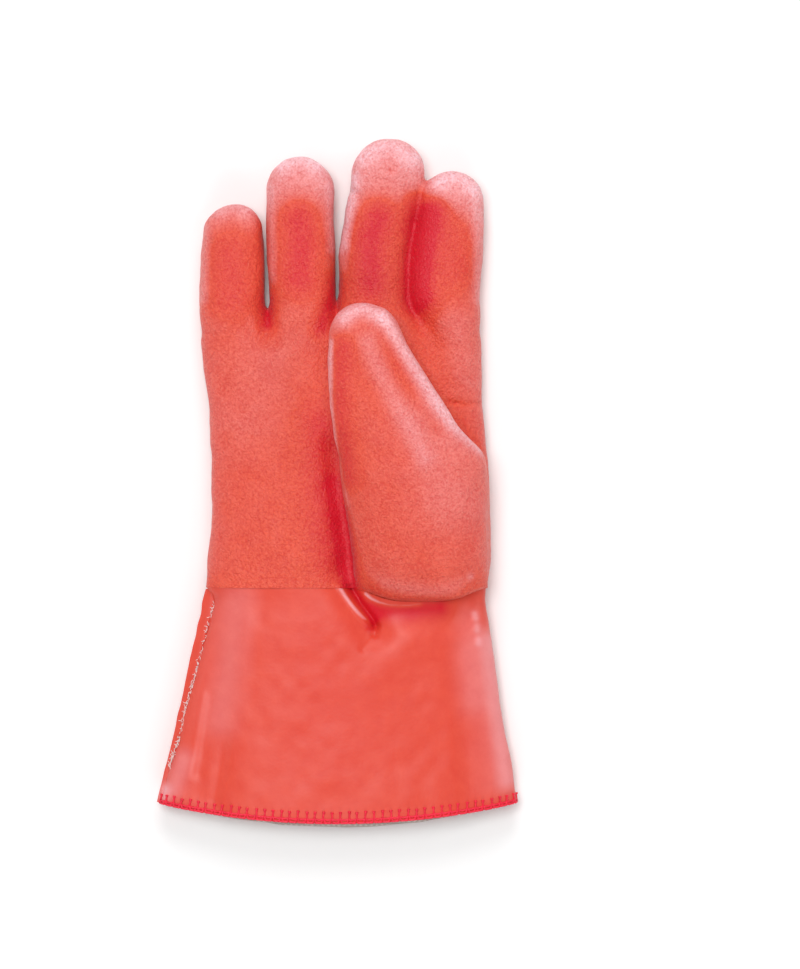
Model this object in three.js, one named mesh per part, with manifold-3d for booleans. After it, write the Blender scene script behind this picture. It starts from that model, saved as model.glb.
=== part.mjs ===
// A right-hand PVC coated work glove with a flared gauntlet cuff, lying on the back of the hand with the
// thumb folded over the palm. Millimetres, +Z up, fingers towards +Y, origin under the middle of its
// outline.
import * as THREE from "three";
import Module from "manifold-3d";

const wasm = await Module();
wasm.setup();

// Palm
const PALM_WIDTH = 123;
const PALM_LENGTH = 124; // coating line to the finger crotches
const PALM_DEPTH = 27; // thickness of the lying palm
const HAND_WALL = 2.2; // PVC coat with its jersey backing
const FINGER_ROOT = 18; // how far a finger's own tube runs down into the palm

// Fingers: length beyond the crotches, width and depth where they are fullest, height of the curled tip's
// underside
const LITTLE_LENGTH = 47;
const LITTLE_WIDTH = 30.8;
const LITTLE_DEPTH = 22;
const RING_LENGTH = 68;
const RING_WIDTH = 31.6;
const RING_DEPTH = 24;
const MIDDLE_LENGTH = 76.5;
const MIDDLE_WIDTH = 33.2;
const MIDDLE_DEPTH = 25.5;
const INDEX_LENGTH = 61.8;
const INDEX_WIDTH = 32;
const INDEX_DEPTH = 25;
const TIP_LIFT = 6;

// Thumb, folded over the palm
const THUMB_LENGTH = 126.5; // coating line to the tip
const THUMB_WIDTH = 65.2; // across its root
const THUMB_DEPTH = 19; // thickness of its free end
const THUMB_GAP = 1.6; // free space between the palm and the folded thumb

// Gauntlet cuff
const CUFF_LENGTH = 96; // coating line to the hem at the sides
const CUFF_MOUTH_WIDTH = 161;
const CUFF_MOUTH_DEPTH = 25;
const MOUTH_SHIFT = -4.7; // how far the mouth flares more on the little finger's side
const CUFF_WALL = 1.4;
const HEM_BOW = 8.7; // how far the hem swings out at its middle
const HEM_DROP = 1.3; // how much longer the under layer is
const SEAM_WIDTH = 5.2; // flat allowance of the side seam at its widest
const SEAM_THICKNESS = 2.4;
const LINING_WALL = 1.0;

// Where the hand's coat laps over the cuff
const LAP_LENGTH = 10;
const LAP_LIP = 1.0; // what is left of the hand's wall over the lap
const LAP_END = 1.0; // free length beyond the end of the cuff's tongue
const COAT_STEP = 0.5; // how far the hand's coat stands proud of the cuff
const STEP_FADE = 16; // length over which the cuff fills out below the coat's edge
const GAP = 0.3; // clearance between separate pieces
const LINE_DIP = 6; // how far the coat's edge sinks below the thumb's root

// Fineness of the walls: points on the upper and the lower half of a section, sections along a tube, and
// how much closer together these stand at its root, 1 being even
const PALM_FINENESS = { upper: 27, lower: 11, rings: 15 };
const FINGER_FINENESS = { upper: 11, lower: 7, rings: 7, crowding: 1 };
const FINGER_HOLLOW_FINENESS = { upper: 8, lower: 6, rings: 6, crowding: 1 };
const THUMB_FINENESS = { upper: 15, lower: 9, rings: 13, crowding: 1.4 };
const THUMB_HOLLOW_FINENESS = { upper: 11, lower: 7, rings: 10, crowding: 1.4 };
const CUFF_RINGS = 9;
const CAP_RINGS = 4;
const OUTLINE_STEPS = 24;

// Every section's form: the powers of its upper and lower half, 2 being round, and the height of its widest
// place
const CROWN = 2.4;
const BASE = 2.9;
const WAIST = 0.46;

const HALF_PALM = PALM_WIDTH / 2;
const HALF_MOUTH = CUFF_MOUTH_WIDTH / 2;
const CUTTER_REACH = 2 * SEAM_WIDTH; // how far a cutter runs out of the wall that it opens

// Sections of the palm. at is a share of PALM_LENGTH from the coating line, left and right are shares of
// half the palm's width, low and high are shares of its depth.
const PALM_ROWS = [
  { at: 0.0, left: -1.022, right: 1.015, low: -0.07, high: 0.99 },
  { at: 0.1, left: -1.015, right: 1.018, low: -0.08, high: 1.0 },
  { at: 0.245, left: -0.993, right: 1.02, low: -0.08, high: 1.0 },
  { at: 0.39, left: -0.985, right: 1.02, low: -0.08, high: 0.99 },
  { at: 0.53, left: -0.993, right: 1.007, low: -0.08, high: 0.97 },
  { at: 0.675, left: -1.007, right: 0.98, low: -0.08, high: 0.95 },
  { at: 0.82, left: -1.047, right: 0.972, low: -0.07, high: 0.91 },
  { at: 0.9, left: -1.045, right: 0.965, low: -0.03, high: 0.84 },
  { at: 0.95, left: -1.02, right: 0.94, low: 0.05, high: 0.72 },
  { at: 0.98, left: -0.97, right: 0.87, low: 0.17, high: 0.58 },
];

// Sections of a finger. at is a share of the way from its root to its tip, middle is a share of half the
// palm's width, wide and high are shares of the finger's own width and depth, lift is a share of TIP_LIFT.
const LITTLE_ROWS = [
  { at: 0.0, middle: -0.79, wide: 0.78, high: 0.86, lift: 0.4 },
  { at: 0.17, middle: -0.819, wide: 0.96, high: 0.98, lift: 0.0 },
  { at: 0.33, middle: -0.825, wide: 1.0, high: 1.0, lift: -0.2 },
  { at: 0.62, middle: -0.833, wide: 0.93, high: 0.97, lift: -0.1 },
  { at: 0.82, middle: -0.831, wide: 0.86, high: 0.98, lift: 0.3 },
  { at: 1.0, middle: -0.815, wide: 0.85, high: 1.03, lift: 1.0 },
];
const RING_ROWS = [
  { at: 0.0, middle: -0.32, wide: 1.03, high: 1.0, lift: -0.1 },
  { at: 0.26, middle: -0.324, wide: 0.995, high: 1.0, lift: -0.2 },
  { at: 0.57, middle: -0.33, wide: 0.975, high: 0.97, lift: -0.1 },
  { at: 0.81, middle: -0.34, wide: 0.955, high: 0.99, lift: 0.4 },
  { at: 1.0, middle: -0.346, wide: 0.955, high: 1.05, lift: 1.0 },
];
const MIDDLE_ROWS = [
  { at: 0.0, middle: 0.24, wide: 1.2, high: 0.98, lift: 0.0 },
  { at: 0.12, middle: 0.235, wide: 1.17, high: 1.0, lift: -0.1 },
  { at: 0.19, middle: 0.2, wide: 1.04, high: 1.0, lift: -0.2 },
  { at: 0.28, middle: 0.187, wide: 0.965, high: 1.0, lift: -0.2 },
  { at: 0.47, middle: 0.197, wide: 0.965, high: 0.97, lift: -0.1 },
  { at: 0.64, middle: 0.248, wide: 0.985, high: 0.98, lift: 0.1 },
  { at: 0.8, middle: 0.295, wide: 0.97, high: 1.0, lift: 0.5 },
  { at: 1.0, middle: 0.303, wide: 0.95, high: 1.04, lift: 1.0 },
];
const INDEX_ROWS = [
  { at: 0.0, middle: 0.76, wide: 0.62, high: 0.84, lift: 0.4 },
  { at: 0.165, middle: 0.776, wide: 0.75, high: 0.97, lift: -0.1 },
  { at: 0.26, middle: 0.73, wide: 0.93, high: 1.0, lift: -0.2 },
  { at: 0.37, middle: 0.718, wide: 0.99, high: 1.0, lift: -0.2 },
  { at: 0.56, middle: 0.73, wide: 1.0, high: 0.97, lift: 0.0 },
  { at: 0.76, middle: 0.77, wide: 0.86, high: 0.98, lift: 0.4 },
  { at: 1.0, middle: 0.762, wide: 0.84, high: 1.03, lift: 1.0 },
];

// The palm's side that the thumb grows from, a share of half the palm's width.
const THUMB_SIDE = 1.02;

// The length of the thumb's round end, a share of its width.
const THUMB_CAP = 0.245;

// Sections of the thumb. at is a share of THUMB_LENGTH from the coating line. edge is how far its outer
// side stands in from that side, and wide its width, both shares of THUMB_WIDTH. sink is the share of the
// palm's depth by which its underside dips into the palm, and rise the share of its own depth that its back
// stands up.
const THUMB_ROWS = [
  { at: 0.0, edge: 0.05, wide: 0.74, sink: 0.75, rise: -0.35 },
  { at: 0.03, edge: 0.01, wide: 0.86, sink: 0.78, rise: 0.12 },
  { at: 0.07, edge: 0.0, wide: 0.905, sink: 0.8, rise: 0.45 },
  { at: 0.127, edge: 0.0, wide: 0.925, sink: 0.8, rise: 0.68 },
  { at: 0.24, edge: 0.0, wide: 0.952, sink: 0.76, rise: 0.88 },
  { at: 0.389, edge: 0.0, wide: 1.0, sink: 0.62, rise: 0.98 },
  { at: 0.475, edge: 0.035, wide: 0.985, sink: 0.42, rise: 1.0 },
  { at: 0.551, edge: 0.184, wide: 0.863, sink: 0.16, rise: 1.0 },
  { at: 0.615, edge: 0.273, wide: 0.794, sink: 0.02, rise: 1.0 },
  { at: 0.696, edge: 0.37, wide: 0.712, sink: 0.0, rise: 1.0 },
  { at: 0.777, edge: 0.465, wide: 0.624, sink: 0.0, rise: 1.0 },
  { at: 0.876, edge: 0.575, wide: 0.506, sink: 0.0, rise: 0.97 },
  { at: 1.0, edge: 0.6, wide: 0.5, sink: -0.03, rise: 0.92 },
];

// Sections of the cuff. at is a share of CUFF_LENGTH from the coating line down to the hem; left, right and
// deep are shares of the way from the palm's side or depth to the mouth's; seam is a share of SEAM_WIDTH.
const CUFF_ROWS = [
  { at: 0.0, left: 0.0, right: 0.0, deep: 0.0, seam: 0.0 },
  { at: 0.06, left: 0.09, right: -0.03, deep: 0.1, seam: 1.0 },
  { at: 0.15, left: 0.165, right: 0.045, deep: 0.3, seam: 0.98 },
  { at: 0.26, left: 0.28, right: 0.165, deep: 0.5, seam: 0.93 },
  { at: 0.4, left: 0.41, right: 0.33, deep: 0.7, seam: 0.83 },
  { at: 0.54, left: 0.54, right: 0.47, deep: 0.9, seam: 0.62 },
  { at: 0.68, left: 0.675, right: 0.63, deep: 1.0, seam: 0.58 },
  { at: 0.82, left: 0.815, right: 0.83, deep: 1.0, seam: 0.38 },
  { at: 1.0, left: 1.0, right: 1.0, deep: 1.0, seam: 0.3 },
];

// Folds pressed into the upper side, each along a line: beside the thumb, hooked over the wrist, under the
// thumb's heel, down from two crotches, and along the cuff. Ends are shares of half the palm's width across
// and of PALM_LENGTH up from the coating line; wide is a share of half the palm's width, deep of its depth.
const FOLDS = [
  { fromX: -0.07, fromY: 0.5, toX: 0.01, toY: 0.1, wide: 0.12, deep: 0.155 },
  { fromX: 0.0, fromY: 0.03, toX: 0.2, toY: -0.13, wide: 0.13, deep: 0.13 },
  { fromX: 0.25, fromY: -0.05, toX: 0.8, toY: -0.03, wide: 0.13, deep: 0.08 },
  { fromX: -0.57, fromY: 1.0, toX: -0.56, toY: 0.9, wide: 0.1, deep: 0.1 },
  { fromX: 0.58, fromY: 0.96, toX: 0.62, toY: 0.88, wide: 0.1, deep: 0.1 },
  { fromX: -0.92, fromY: -0.3, toX: -1.02, toY: -0.72, wide: 0.16, deep: 0.06 },
];

const { clamp, lerp, smoothstep } = THREE.MathUtils;

// A table's column at a station: a cubic through the rows, each row's slope taken from its two neighbours.
function read(rows, column, at) {
  const last = rows.length - 1;
  const i = clamp(
    rows.findIndex((row) => row.at >= at),
    at > rows[last].at ? last : 1,
    last,
  );
  const slope = (k) => {
    const [before, after] = [rows[Math.max(k - 1, 0)], rows[Math.min(k + 1, last)]];
    return (after[column] - before[column]) / (after.at - before.at);
  };
  const [a, b] = [rows[i - 1], rows[i]];
  const span = b.at - a.at;
  const t = clamp((at - a.at) / span, 0, 1);
  const straight = lerp(a[column], b[column], t * t * (3 - 2 * t));
  return straight + t * (1 - t) * span * (slope(i - 1) * (1 - t) - slope(i) * t);
}

// The lying glove's pressed folds, its bowed hem and the dip of the coat's edge, as one warp of space that
// every wall goes through, so that walls that lie against each other bend alike. The surface that it lies
// on stays flat.
function drape(point) {
  const upper = smoothstep(point.z, 0.25 * PALM_DEPTH, 0.85 * PALM_DEPTH);
  let press = 0;
  for (const fold of FOLDS) {
    const from = new THREE.Vector3(fold.fromX * HALF_PALM, fold.fromY * PALM_LENGTH, 0);
    const to = new THREE.Vector3(fold.toX * HALF_PALM, fold.toY * PALM_LENGTH, 0);
    const flat = new THREE.Vector3(point.x, point.y, 0);
    const near = new THREE.Line3(from, to).closestPointToPoint(flat, true, new THREE.Vector3());
    press += fold.deep * PALM_DEPTH * Math.exp(-((flat.distanceTo(near) / (fold.wide * HALF_PALM)) ** 2));
  }
  const across = clamp((point.x - MOUTH_SHIFT) / HALF_MOUTH, -1, 1);
  const down = clamp(-point.y / CUFF_LENGTH, 0, 1);
  const bow = (HEM_BOW * (1 - across ** 2) + HEM_DROP * (1 - upper)) * down ** 2;
  const [aside, off] = [(point.x / HALF_PALM - 0.54) / 0.38, point.y / PALM_LENGTH / 0.2];
  const dip = LINE_DIP * upper * Math.exp(-(aside ** 4) - off ** 2);
  return new THREE.Vector3(point.x, point.y - bow - dip, point.z - press * upper);
}

// One section as a ring of points in a plane across the glove: an oval with a fuller, flattened underside,
// its points evenly spaced over each half, moved in by inset square to its outline, and shrunk about its
// middle by scale.
function ring({ y, left, right, low, high }, fineness, inset, scale = 1) {
  const middle = new THREE.Vector2((left + right) / 2, lerp(low, high, WAIST));
  const half = (power, reach, from, count) => {
    const outline = Array.from({ length: OUTLINE_STEPS + 1 }, (_, i) => {
      const angle = from + (Math.PI * i) / OUTLINE_STEPS;
      const [c, s] = [Math.cos(angle), Math.sin(angle)];
      const x = middle.x + ((right - left) / 2) * Math.sign(c) * Math.abs(c) ** (2 / power);
      const z = middle.y + reach * Math.sign(s) * Math.abs(s) ** (2 / power);
      return new THREE.Vector2(x, Math.max(z, 0));
    });
    return new THREE.SplineCurve(outline).getSpacedPoints(count).slice(0, count);
  };
  const outline = [
    ...half(CROWN, high - middle.y, 0, fineness.upper),
    ...half(BASE, middle.y - low, Math.PI, fineness.lower),
  ];
  return outline.map((point, i) => {
    const along = outline[(i + 1) % outline.length].clone().sub(outline.at(i - 1)).normalize();
    const moved = new THREE.Vector2(-along.y, along.x).multiplyScalar(inset).add(point);
    const place = moved.lerp(middle, 1 - scale);
    return drape(new THREE.Vector3(place.x, y, Math.max(place.y, inset)));
  });
}

// The middle of a ring, as a ring of one point that closes a loft.
const pole = (points) => [
  points.reduce((sum, point) => sum.add(point), new THREE.Vector3()).divideScalar(points.length),
];

// A solid over rings that run towards +Y and whose ends are poles, or a sleeve whose last ring joins its
// first. Walls that lie against each other are split into triangles alike, whichever way their rings run.
function loft(rings, sleeve = false) {
  const starts = rings.map((_, i) => rings.slice(0, i).flat().length);
  const index = [];
  for (let i = 0; i < rings.length - (sleeve ? 0 : 1); i++) {
    const next = (i + 1) % rings.length;
    const count = Math.max(rings[i].length, rings[next].length);
    const corner = (row, j) => starts[row] + ((j % count) % rings[row].length);
    const outbound = rings[next][0].y > rings[i][0].y;
    for (let j = 0; j < count; j++) {
      const [a, b, c, d] = [corner(i, j), corner(next, j), corner(next, j + 1), corner(i, j + 1)];
      const faces = outbound ? [[a, b, c], [a, c, d]] : [[a, b, d], [b, c, d]];
      index.push(...faces.filter((face) => new Set(face).size === 3).flat());
    }
  }
  return new wasm.Manifold(
    new wasm.Mesh({
      numProp: 3,
      vertProperties: Float32Array.from(rings.flat().flatMap((point) => point.toArray())),
      triVerts: Uint32Array.from(index),
    }),
  );
}

const capped = (rings) => loft([pole(rings[0]), ...rings, pole(rings[rings.length - 1])]);
const between = (from, to, count) => Array.from({ length: count }, (_, i) => lerp(from, to, i / (count - 1)));
const lapStations = [0, LAP_LENGTH / 2, LAP_LENGTH];

function palmSection(y) {
  const at = y / PALM_LENGTH;
  return {
    y,
    left: read(PALM_ROWS, "left", at) * HALF_PALM,
    right: read(PALM_ROWS, "right", at) * HALF_PALM,
    low: read(PALM_ROWS, "low", at) * PALM_DEPTH,
    high: read(PALM_ROWS, "high", at) * PALM_DEPTH,
  };
}

const palmRing = (y, inset) => ring(palmSection(y), PALM_FINENESS, inset);

// The palm's form over the lap, and a block of it that reaches out below the coat's edge.
const lapBlock = (inset, to) => capped([-CUTTER_REACH, ...lapStations, to].map((y) => palmRing(y, inset)));

// The palm's form from the coating line up, with one ring ahead of it that sets how its end is closed.
function palm(inset, lead) {
  const end = PALM_ROWS[PALM_ROWS.length - 1].at * PALM_LENGTH - inset;
  const stations = [...lapStations, ...between(LAP_LENGTH, end, PALM_FINENESS.rings - 2).slice(1)];
  return capped([lead, ...stations.map((y) => palmRing(y, inset))]);
}

// A digit's rings, closer together towards its root, then a round cap that closes at the tip.
function digit(sectionAt, { from, tip, cap, fineness, inset }) {
  const capFrom = tip - cap;
  const body = between(0, 1, fineness.rings).map((share) => {
    const y = lerp(from, capFrom, share ** fineness.crowding);
    return ring(sectionAt(y), fineness, inset);
  });
  const dome = between(0, Math.PI / 2, CAP_RINGS + 1)
    .slice(1, -1)
    .map((angle) => {
      const y = capFrom + (cap - inset) * Math.sin(angle);
      return ring(sectionAt(y), fineness, inset, Math.cos(angle));
    });
  const end = pole(ring(sectionAt(tip - inset), fineness, inset, 0));
  return loft([pole(body[0]), ...body, ...dome, end]);
}

function finger({ rows, length, width, depth, cap }, inset, fineness) {
  const root = PALM_LENGTH - FINGER_ROOT;
  const tip = PALM_LENGTH + length;
  const sectionAt = (y) => {
    const at = (y - root) / (tip - root);
    const middle = read(rows, "middle", at) * HALF_PALM;
    const half = (read(rows, "wide", at) * width) / 2;
    const lift = read(rows, "lift", at) * TIP_LIFT;
    return { y, left: middle - half, right: middle + half, low: lift, high: read(rows, "high", at) * depth };
  };
  return digit(sectionAt, { from: root + inset, tip, cap: cap * width, fineness, inset });
}

const FINGERS = [
  { rows: LITTLE_ROWS, length: LITTLE_LENGTH, width: LITTLE_WIDTH, depth: LITTLE_DEPTH, cap: 0.39 },
  { rows: RING_ROWS, length: RING_LENGTH, width: RING_WIDTH, depth: RING_DEPTH, cap: 0.48 },
  { rows: MIDDLE_ROWS, length: MIDDLE_LENGTH, width: MIDDLE_WIDTH, depth: MIDDLE_DEPTH, cap: 0.47 },
  { rows: INDEX_ROWS, length: INDEX_LENGTH, width: INDEX_WIDTH, depth: INDEX_DEPTH, cap: 0.43 },
];

// The free thumb rests above whatever lies highest under it.
const UNDER_THUMB = Math.max(PALM_DEPTH, MIDDLE_DEPTH, RING_DEPTH) + THUMB_GAP;

function thumb(inset, fineness) {
  const sectionAt = (y) => {
    const at = y / THUMB_LENGTH;
    const outer = THUMB_SIDE * HALF_PALM - read(THUMB_ROWS, "edge", at) * THUMB_WIDTH;
    return {
      y,
      left: outer - read(THUMB_ROWS, "wide", at) * THUMB_WIDTH,
      right: outer,
      low: UNDER_THUMB - read(THUMB_ROWS, "sink", at) * PALM_DEPTH,
      high: UNDER_THUMB + read(THUMB_ROWS, "rise", at) * THUMB_DEPTH,
    };
  };
  const reach = { from: LAP_LIP + 2 * inset, tip: THUMB_LENGTH, cap: THUMB_CAP * THUMB_WIDTH };
  return digit(sectionAt, { ...reach, fineness, inset });
}

// Palm, thumb and fingers fused into one form, drawn in by inset.
const handForm = (inset, lead, thumbPart, fingerFineness) =>
  [thumbPart, ...FINGERS.map((each) => finger(each, inset, fingerFineness))].reduce(
    (sum, solid) => sum.add(solid),
    palm(inset, lead),
  );

// The hand: one form hollowed by its smaller self, open at the wrist, thinned inside where the cuff's
// tongue goes.
function handShell() {
  const thumbHollow = thumb(HAND_WALL, THUMB_HOLLOW_FINENESS).subtract(lapBlock(0, LAP_LENGTH + HAND_WALL));
  const squareEnd = palmRing(0, 2 * HAND_WALL);
  const openEnd = palmRing(-CUTTER_REACH, HAND_WALL);
  const outside = handForm(0, squareEnd, thumb(0, THUMB_FINENESS), FINGER_FINENESS);
  const hollow = handForm(HAND_WALL, openEnd, thumbHollow, FINGER_HOLLOW_FINENESS);
  return outside.subtract(hollow).subtract(lapBlock(LAP_LIP, LAP_LENGTH + LAP_END));
}

function cuffSection(y) {
  const at = -y / CUFF_LENGTH;
  const wrist = palmSection(0);
  const seam = read(CUFF_ROWS, "seam", at) * SEAM_WIDTH;
  const depth = lerp(PALM_DEPTH, CUFF_MOUTH_DEPTH, read(CUFF_ROWS, "deep", at));
  return {
    y,
    left: lerp(wrist.left, MOUTH_SHIFT - HALF_MOUTH, read(CUFF_ROWS, "left", at)) + seam,
    right: lerp(wrist.right, MOUTH_SHIFT + HALF_MOUTH, read(CUFF_ROWS, "right", at)),
    low: PALM_ROWS[0].low * depth,
    high: PALM_ROWS[0].high * depth,
    seam,
  };
}

// How deep the cuff's skin lies under the palm's form: a step at the coat's edge that fades away down the
// cuff.
const coatStep = (y) => COAT_STEP * (1 - smoothstep(-y, 0, STEP_FADE));
const cuffRing = (y, inset) => ring(cuffSection(y), PALM_FINENESS, inset + coatStep(y));

// Stations of the cuff's walls from the hem up, closer together towards the folds at the wrist.
const cuffStations = between(1, 0, CUFF_RINGS).map((share) => {
  return lerp(-STEP_FADE / 2, -CUFF_LENGTH, share ** 1.5);
});

// The side seam's allowance: a flat bar along the cuff's edge, rooted in the cuff's wall.
function seamAllowance() {
  const sections = [...cuffStations, -SEAM_THICKNESS / 2].map((y) => {
    const { left, low, high, seam } = cuffSection(y);
    const [outer, inner] = [left - seam, left + coatStep(y) + CUFF_WALL / 2];
    return [
      [inner, SEAM_THICKNESS / 2],
      [outer, SEAM_THICKNESS / 4],
      [outer, -SEAM_THICKNESS / 4],
      [inner, -SEAM_THICKNESS / 2],
    ].map(([x, z]) => drape(new THREE.Vector3(x, y, lerp(low, high, WAIST) + z)));
  });
  return capped(sections);
}

// The gauntlet: a sleeve with its tongue up inside the hand, and the side seam's allowance on it.
function gauntletCuff() {
  const tongue = LAP_LIP + GAP;
  const outer = [
    ...[...cuffStations, -GAP].map((y) => cuffRing(y, 0)),
    ...[-GAP, ...lapStations.slice(1)].map((y) => palmRing(y, tongue)),
  ];
  const inner = [
    ...[LAP_LENGTH, LAP_LENGTH / 2, 0].map((y) => palmRing(y, tongue + CUFF_WALL)),
    ...cuffStations.toReversed().map((y) => cuffRing(y, CUFF_WALL)),
  ];
  return loft([...outer, ...inner], true).add(seamAllowance());
}

function cuffLining() {
  const outer = cuffStations.map((y) => cuffRing(y, CUFF_WALL + GAP));
  const inner = cuffStations.toReversed().map((y) => cuffRing(y, CUFF_WALL + GAP + LINING_WALL));
  return loft([...outer, ...inner], true);
}

// Finishes
const coatFinish = new THREE.MeshStandardMaterial({ color: 0xd62a20, roughness: 0.55 });
const cuffFinish = new THREE.MeshStandardMaterial({ color: 0xd9302a, roughness: 0.4 });
const liningFinish = new THREE.MeshStandardMaterial({ color: 0xeae2d8, roughness: 0.95 });

function node(name, solid, material) {
  const { vertProperties, triVerts } = solid.getMesh();
  const geometry = new THREE.BufferGeometry();
  geometry.setAttribute("position", new THREE.BufferAttribute(vertProperties, 3));
  geometry.setIndex(new THREE.BufferAttribute(triVerts, 1));
  geometry.computeVertexNormals();
  const mesh = new THREE.Mesh(geometry, material);
  mesh.name = name;
  return mesh;
}

const glove = new THREE.Group();
glove.name = "pvc_coated_work_glove";
glove.add(node("hand_shell", handShell(), coatFinish));
glove.add(node("gauntlet_cuff", gauntletCuff(), cuffFinish));
glove.add(node("cuff_lining", cuffLining(), liningFinish));

// The origin goes to the middle of the glove's outline, at the height of its underside.
const bounds = new THREE.Box3().setFromObject(glove);
const centre = bounds.getCenter(new THREE.Vector3());
glove.position.set(-centre.x, -centre.y, -bounds.min.z);

export default glove;
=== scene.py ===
"""Looks of a right-hand PVC coated work glove: rough dipped hand, smooth flared gauntlet, jersey lining."""

import bpy
import numpy as np
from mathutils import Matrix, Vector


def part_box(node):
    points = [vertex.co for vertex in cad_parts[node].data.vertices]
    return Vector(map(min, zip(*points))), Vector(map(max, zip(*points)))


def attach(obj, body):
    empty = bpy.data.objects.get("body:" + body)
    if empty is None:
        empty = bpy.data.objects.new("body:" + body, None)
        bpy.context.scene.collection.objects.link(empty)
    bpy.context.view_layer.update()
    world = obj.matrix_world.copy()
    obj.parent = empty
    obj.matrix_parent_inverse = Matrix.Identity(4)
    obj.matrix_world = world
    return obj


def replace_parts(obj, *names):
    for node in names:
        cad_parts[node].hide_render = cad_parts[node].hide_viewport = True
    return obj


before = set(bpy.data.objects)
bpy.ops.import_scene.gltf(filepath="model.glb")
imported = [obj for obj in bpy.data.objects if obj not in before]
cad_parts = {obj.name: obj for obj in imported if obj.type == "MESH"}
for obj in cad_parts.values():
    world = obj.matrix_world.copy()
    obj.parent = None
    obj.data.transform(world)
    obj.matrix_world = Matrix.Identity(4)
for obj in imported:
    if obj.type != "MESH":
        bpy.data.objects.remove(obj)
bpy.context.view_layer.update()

import openvdb
from bpy.props import FloatProperty, FloatVectorProperty, IntProperty, PointerProperty
from mathutils import Vector

bl_info = {
    "name": "PVC Coated Work Glove",
    "version": (1, 0, 0),
    "blender": (4, 5, 0),
    "location": "View3D > Sidebar > Glove",
    "description": "Builds the looks of a PVC coated gauntlet glove around its CAD frame",
    "category": "Object",
}

MM = 0.001

# The glove's own sizes in millimetres, as the CAD part has them, but for COAT_STEP, which is less because the
# rough coat's dents and grain stand on it
PALM_WIDTH = 123.0
PALM_LENGTH = 124.0
PALM_DEPTH = 27.0
HAND_WALL = 2.2
FINGER_ROOT = 18.0
TIP_LIFT = 6.0
THUMB_LENGTH = 126.5
THUMB_WIDTH = 65.2
THUMB_DEPTH = 19.0
THUMB_GAP = 1.6
CUFF_LENGTH = 96.0
CUFF_MOUTH_WIDTH = 161.0
CUFF_MOUTH_DEPTH = 25.0
MOUTH_SHIFT = -4.7
CUFF_WALL = 1.4
HEM_BOW = 8.7
HEM_DROP = 1.3
SEAM_WIDTH = 5.2
SEAM_THICKNESS = 2.4
LINING_WALL = 1.0
LAP_LENGTH = 10.0
LAP_LIP = 1.0
COAT_STEP = 0.3
STEP_FADE = 16.0
GAP = 0.3
LINE_DIP = 6.0
HALF_PALM = PALM_WIDTH / 2
HALF_MOUTH = CUFF_MOUTH_WIDTH / 2

# Every section's form: powers of its upper and lower half, and the height of its widest place
CROWN = 2.4
BASE = 2.9
WAIST = 0.46

# The glove's own axes start at the coating line, in the middle of the palm. Its tip and its mouth say where
# that is.
MIDDLE_LENGTH = 76.5
hand_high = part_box("hand_shell")[1]
cuff_low, cuff_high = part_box("gauntlet_cuff")
GLOVE_ORIGIN = np.array(
    [
        (cuff_low.x + cuff_high.x) / 2 / MM - MOUTH_SHIFT,
        hand_high.y / MM - PALM_LENGTH - MIDDLE_LENGTH,
        0.0,
    ]
)

# Sections of the palm: shares of its length, half width and depth
PALM_ROWS = (
    ("at", "left", "right", "low", "high"),
    (0.0, -1.022, 1.015, -0.07, 0.99),
    (0.1, -1.015, 1.018, -0.08, 1.0),
    (0.245, -0.993, 1.02, -0.08, 1.0),
    (0.39, -0.985, 1.02, -0.08, 0.99),
    (0.53, -0.993, 1.007, -0.08, 0.97),
    (0.675, -1.007, 0.98, -0.08, 0.95),
    (0.82, -1.047, 0.972, -0.07, 0.91),
    (0.9, -1.045, 0.965, -0.03, 0.84),
    (0.95, -1.02, 0.94, 0.05, 0.72),
    (0.98, -0.97, 0.87, 0.17, 0.58),
)

# Sections of each finger: shares of its run, half the palm's width, its own width and depth, and the tip's
# lift. Between the fingers they are a little slimmer than the CAD part's.
FINGER_COLUMNS = ("at", "middle", "wide", "high", "lift")
LITTLE_ROWS = (
    FINGER_COLUMNS,
    (0.0, -0.79, 0.78, 0.86, 0.4),
    (0.17, -0.819, 0.96, 0.98, 0.0),
    (0.33, -0.8335, 0.962, 1.0, -0.2),
    (0.62, -0.835, 0.93, 0.97, -0.1),
    (0.82, -0.831, 0.86, 0.98, 0.3),
    (1.0, -0.815, 0.85, 1.03, 1.0),
)
RING_ROWS = (
    FINGER_COLUMNS,
    (0.0, -0.32, 1.03, 1.0, -0.1),
    (0.26, -0.322, 0.955, 1.0, -0.2),
    (0.57, -0.336, 0.97, 0.97, -0.1),
    (0.81, -0.34, 0.955, 0.99, 0.4),
    (1.0, -0.346, 0.955, 1.05, 1.0),
)
MIDDLE_ROWS = (
    FINGER_COLUMNS,
    (0.0, 0.24, 1.2, 0.98, 0.0),
    (0.12, 0.235, 1.17, 1.0, -0.1),
    (0.19, 0.2, 1.04, 1.0, -0.2),
    (0.28, 0.194, 0.955, 1.0, -0.2),
    (0.47, 0.203, 0.958, 0.97, -0.1),
    (0.64, 0.248, 0.985, 0.98, 0.1),
    (0.8, 0.295, 0.97, 1.0, 0.5),
    (1.0, 0.303, 0.95, 1.04, 1.0),
)
INDEX_ROWS = (
    FINGER_COLUMNS,
    (0.0, 0.75, 0.7, 0.84, 0.4),
    (0.165, 0.735, 0.9, 0.97, -0.1),
    (0.26, 0.706, 1.01, 1.0, -0.2),
    (0.37, 0.702, 1.045, 1.0, -0.2),
    (0.56, 0.719, 1.04, 0.97, 0.0),
    (0.76, 0.747, 0.945, 0.98, 0.4),
    (1.0, 0.762, 0.84, 1.03, 1.0),
)

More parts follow.
